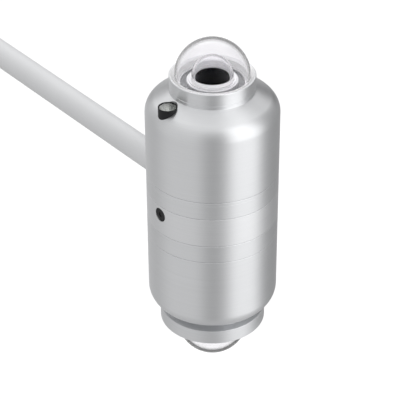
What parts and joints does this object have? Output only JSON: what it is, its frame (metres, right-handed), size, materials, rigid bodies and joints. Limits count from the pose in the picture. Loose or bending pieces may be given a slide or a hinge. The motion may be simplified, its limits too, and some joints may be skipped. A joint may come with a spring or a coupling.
{
  "type": "albedometer",
  "caption": "Albedometer: two glass-domed radiation sensors back to back on a central block, one facing up and one down, on a horizontal mounting rod.",
  "frame": {"origin": "on the rod's axis, in the middle of the stretch near the free end that a mast clamp grips", "axes": "X along the rod, free end at -X and sensor body at +X; +Z is the sky-facing head; the bubble level and the plugged port are on the -Y side"},
  "size_m": [0.3891, 0.068, 0.1885],
  "materials": {
    "rod_coat": "matt light grey powder coat",
    "anodised": "clear anodised, turned, satin",
    "machined": "plain machined",
    "steel": "plain stainless steel",
    "black_steel": "black oxide",
    "dome_glass": "polished clear optical glass",
    "absorber_black": "matt black absorber coating",
    "sensor_bright": "bright turned",
    "substrate": "matt white",
    "rubber": "matt black rubber",
    "black_plastic": "moulded black plastic",
    "board_green": "solder mask",
    "lead_red": "wire insulation",
    "level_liquid": "clear yellow-green liquid",
    "bubble_air": "air bubble"
  },
  "bodies": {
    "rod": {"rod_tube": "rod_coat", "rod_spigot": "machined", "rod_seal_ring": "rubber", "gland_body": "black_plastic", "gland_nut": "black_plastic", "gland_seal": "rubber"},
    "block": {"central_block": "anodised", "rod_saddle": "anodised", "port_plug": "black_plastic", "port_plug_seal": "rubber", "junction_board": "board_green", "junction_sockets": "black_plastic", "junction_screws": "steel", "dowel_pins": "steel", "upper_snap_ring": "black_steel", "lower_snap_ring": "black_steel", "upper_joint_seal": "rubber", "lower_joint_seal": "rubber"},
    "lock_screw": {"rod_lock_screw": "black_steel"},
    "upper_ring": {"upper_coupling_ring": "anodised"},
    "lower_ring": {"lower_coupling_ring": "anodised"},
    "upper_head": {"upper_housing": "anodised", "upper_base_plate": "machined", "upper_base_screws": "steel", "upper_plug": "black_plastic", "upper_sensor_body": "machined", "upper_sensor_screws": "steel", "upper_terminal_board": "board_green", "upper_board_screws": "steel", "upper_leads": "lead_red", "upper_thermopile": "substrate", "upper_absorber": "absorber_black", "upper_sensor_ring": "sensor_bright", "upper_inner_dome": "dome_glass", "upper_outer_dome": "dome_glass", "upper_dome_collar": "anodised", "upper_dome_seal": "rubber", "level_cup": "black_plastic", "level_fluid": "level_liquid", "level_glass": "dome_glass"},
    "bubble": {"level_bubble": "bubble_air"},
    "lower_head": {"lower_housing": "anodised", "lower_base_plate": "machined", "lower_base_screws": "steel", "lower_plug": "black_plastic", "lower_sensor_body": "machined", "lower_sensor_screws": "steel", "lower_terminal_board": "board_green", "lower_board_screws": "steel", "lower_leads": "lead_red", "lower_thermopile": "substrate", "lower_absorber": "absorber_black", "lower_sensor_ring": "sensor_bright", "lower_inner_dome": "dome_glass", "lower_outer_dome": "dome_glass", "lower_dome_collar": "anodised", "lower_dome_seal": "rubber", "glare_screen": "anodised", "glare_screen_seal": "rubber"}
  },
  "joints": [
    {"name": "head_roll", "type": "hinge", "parent": "rod", "child": "block", "pos_m": [0.298, 0, 0], "axis": [1, 0, 0], "range_deg": [-90, 90]},
    {"name": "lock_screw_turn", "type": "hinge", "parent": "block", "child": "lock_screw", "pos_m": [0.275, 0.015, 0], "axis": [0, 1, 0], "range_deg": [0, 720]},
    {"name": "upper_ring_turn", "type": "hinge", "parent": "block", "child": "upper_ring", "pos_m": [0.298, 0, 0.014], "axis": [0, 0, -1], "range_deg": [0, 1440]},
    {"name": "upper_head_lift", "type": "slide", "parent": "block", "child": "upper_head", "axis": [0, 0, 1], "range_m": [0, 0.006]},
    {"name": "bubble_drift", "type": "slide", "parent": "upper_head", "child": "bubble", "axis": [1, 0, 0], "range_m": [-0.0019, 0.0019]},
    {"name": "lower_ring_turn", "type": "hinge", "parent": "block", "child": "lower_ring", "pos_m": [0.298, 0, -0.012], "axis": [0, 0, 1], "range_deg": [0, 1440]},
    {"name": "lower_head_drop", "type": "slide", "parent": "block", "child": "lower_head", "axis": [0, 0, -1], "range_m": [0, 0.006]}
  ],
  "couplings": [
    {"joint": "upper_ring_turn", "follows": "upper_head_lift", "rad_per_m": 4188.8},
    {"joint": "lower_ring_turn", "follows": "lower_head_drop", "rad_per_m": 4188.8}
  ]
}
